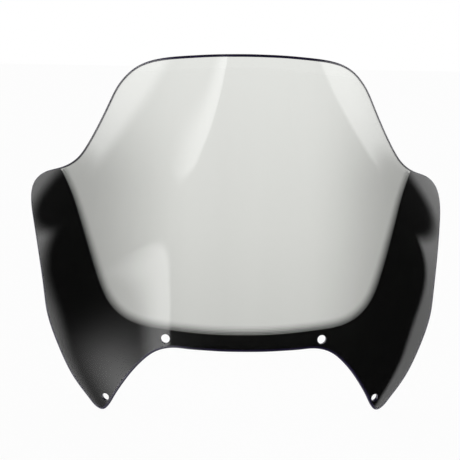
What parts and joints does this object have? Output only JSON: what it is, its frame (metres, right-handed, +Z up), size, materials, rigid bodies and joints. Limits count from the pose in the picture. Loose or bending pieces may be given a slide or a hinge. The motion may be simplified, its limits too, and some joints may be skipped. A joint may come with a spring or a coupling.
{
  "type": "motorcycle windshield screen",
  "caption": "Smoke tinted acrylic motorcycle screen with swept wings, black printed border and open fixing holes.",
  "frame": {"origin": "middle of the bounding box in X and Y, at the height of the two lower tips", "axes": "+Z up the screen, X across the motorcycle, -Y out of the convex face that meets the wind"},
  "size_m": [0.4922, 0.1657, 0.405],
  "materials": {
    "tinted_acrylic": "polished gloss, light smoke tint",
    "black_ink": "black screen printing ink seen through the acrylic"
  },
  "bodies": {
    "root": {"screen_sheet": "tinted_acrylic", "border_print": "black_ink", "halftone_dots": "black_ink"}
  },
  "joints": []
}
